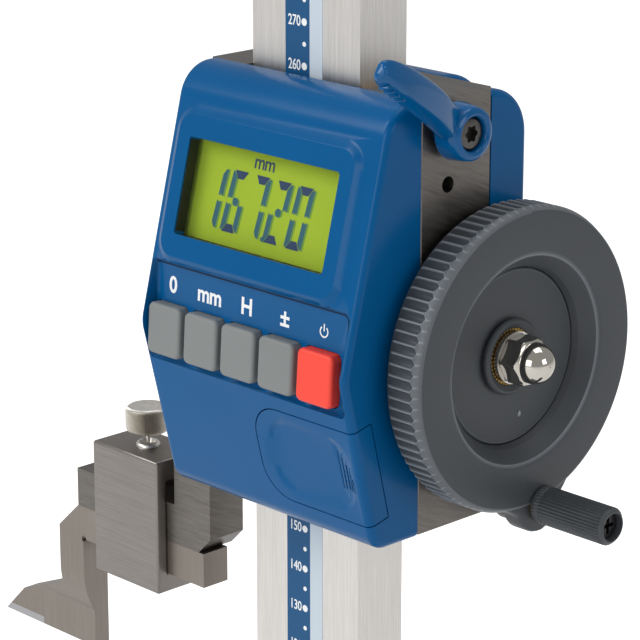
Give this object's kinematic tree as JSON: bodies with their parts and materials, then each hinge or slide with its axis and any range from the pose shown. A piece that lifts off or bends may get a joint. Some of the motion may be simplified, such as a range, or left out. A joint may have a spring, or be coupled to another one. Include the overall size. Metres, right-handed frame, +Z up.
{
  "type": "height gauge",
  "caption": "Digital height gauge: a base and upright column carry a slider with display, keys, rack-and-pinion handwheel, clamp lever and a clamped scriber.",
  "frame": {"origin": "on the base's bottom face, under the column's centre line", "axes": "+Z up along the column, -Y to the display, +X to the handwheel, -X to the scriber; rest pose has the measuring face 167.2 mm above the base's bottom face"},
  "size_m": [0.1955, 0.1, 0.475],
  "materials": {
    "base_iron": "fine-machined, satin",
    "column_steel": "ground along its length",
    "rack_steel": "machined",
    "scale_blue": "printed laminate",
    "dark_screw": "black oxide",
    "slider_steel": "ground",
    "bronze": "machined bronze",
    "blue_plastic": "fine-grained moulding",
    "board_green": "laminate with solder mask",
    "black_plastic": "moulded",
    "display_green": "segment display with reflector",
    "clear_lens": "clear moulded lens",
    "cell_steel": "nickel plated",
    "contact_metal": "spring strip",
    "grey_plastic": "moulded",
    "brass_trim": "turned",
    "plated_steel": "zinc plated",
    "chrome_nut": "polished",
    "clamp_steel": "hardened and ground",
    "carbide": "lapped carbide",
    "key_grey": "soft-touch key",
    "key_red": "soft-touch key"
  },
  "bodies": {
    "stand": {"base": "base_iron", "column": "column_steel", "rack": "rack_steel", "scale_strip": "scale_blue", "column_screws": "dark_screw", "stop_screw": "dark_screw"},
    "handwheel": {"pinion_shaft": "rack_steel", "handwheel": "grey_plastic", "wheel_insert": "brass_trim", "wheel_washer": "plated_steel", "acorn_nut": "chrome_nut", "knob_screw": "dark_screw", "knob_washer": "brass_trim"},
    "crank_knob": {"crank_knob": "grey_plastic"},
    "clamp_lever": {"clamp_lever": "black_plastic", "lever_screw": "dark_screw"},
    "scriber_clamp": {"scriber_clamp": "clamp_steel"},
    "thumb_screw": {"thumb_screw": "clamp_steel"},
    "scriber": {"scriber": "clamp_steel", "carbide_tip": "carbide"},
    "battery_cover": {"battery_cover": "blue_plastic"},
    "button_1": {"button_1": "key_grey"},
    "button_2": {"button_2": "key_grey"},
    "button_3": {"button_3": "key_grey"},
    "button_4": {"button_4": "key_grey"},
    "button_5": {"button_5": "key_red"},
    "carriage": {"slider_block": "slider_steel", "gib_strip": "bronze", "gib_screws": "dark_screw", "keeper_strips": "slider_steel", "keeper_screws": "dark_screw", "front_housing": "blue_plastic", "housing_screws": "dark_screw", "main_board": "board_green", "key_board": "board_green", "reading_head": "black_plastic", "lcd_panel": "display_green", "lcd_window": "clear_lens", "battery": "cell_steel", "battery_contacts": "contact_metal", "rear_cover": "blue_plastic", "rear_cover_screws": "dark_screw", "bearing_bushes": "bronze", "bearing_caps": "slider_steel", "cap_screws": "dark_screw", "clamp_plug": "bronze"}
  },
  "joints": [
    {"name": "carriage_slide", "type": "slide", "parent": "stand", "child": "carriage", "axis": [0, 0, 1], "range_m": [-0.167, 0.1328]},
    {"name": "handwheel_spin", "type": "hinge", "parent": "carriage", "child": "handwheel", "pos_m": [0.045, 0.0128, 0.2705], "axis": [1, 0, 0], "range_deg": [-1500, 1195]},
    {"name": "crank_knob_spin", "type": "hinge", "parent": "handwheel", "child": "crank_knob", "pos_m": [0.06, 0.0186, 0.23548], "axis": [1, 0, 0], "continuous": true},
    {"name": "clamp_lever_swing", "type": "hinge", "parent": "carriage", "child": "clamp_lever", "pos_m": [0.0427, -0.0008, 0.3232], "axis": [1, 0, 0], "range_deg": [-60, 40]},
    {"name": "scriber_clamp_slide", "type": "slide", "parent": "carriage", "child": "scriber_clamp", "axis": [1, 0, 0], "range_m": [-0.01, 0.003]},
    {"name": "thumb_screw_turn", "type": "hinge", "parent": "scriber_clamp", "child": "thumb_screw", "pos_m": [-0.06005, -0.00438, 0.235], "axis": [0, 0, 1], "range_deg": [0, 720]},
    {"name": "scriber_slide", "type": "slide", "parent": "scriber_clamp", "child": "scriber", "axis": [1, 0, 0], "range_m": [-0.012, 0.008]},
    {"name": "battery_cover_slide", "type": "slide", "parent": "carriage", "child": "battery_cover", "axis": [1, 0, 0], "range_m": [0, 0.01]},
    {"name": "button_1_press", "type": "slide", "parent": "carriage", "child": "button_1", "axis": [0, 0.9979, -0.0651], "range_m": [0, 0.0008], "stiffness_N_per_m": 500},
    {"name": "button_2_press", "type": "slide", "parent": "carriage", "child": "button_2", "axis": [0, 0.9979, -0.0651], "range_m": [0, 0.0008], "stiffness_N_per_m": 500},
    {"name": "button_3_press", "type": "slide", "parent": "carriage", "child": "button_3", "axis": [0, 0.9979, -0.0651], "range_m": [0, 0.0008], "stiffness_N_per_m": 500},
    {"name": "button_4_press", "type": "slide", "parent": "carriage", "child": "button_4", "axis": [0, 0.9979, -0.0651], "range_m": [0, 0.0008], "stiffness_N_per_m": 500},
    {"name": "button_5_press", "type": "slide", "parent": "carriage", "child": "button_5", "axis": [0, 0.9979, -0.0651], "range_m": [0, 0.0008], "stiffness_N_per_m": 500}
  ],
  "couplings": [
    {"joint": "handwheel_spin", "follows": "carriage_slide", "rad_per_m": 156.25}
  ]
}
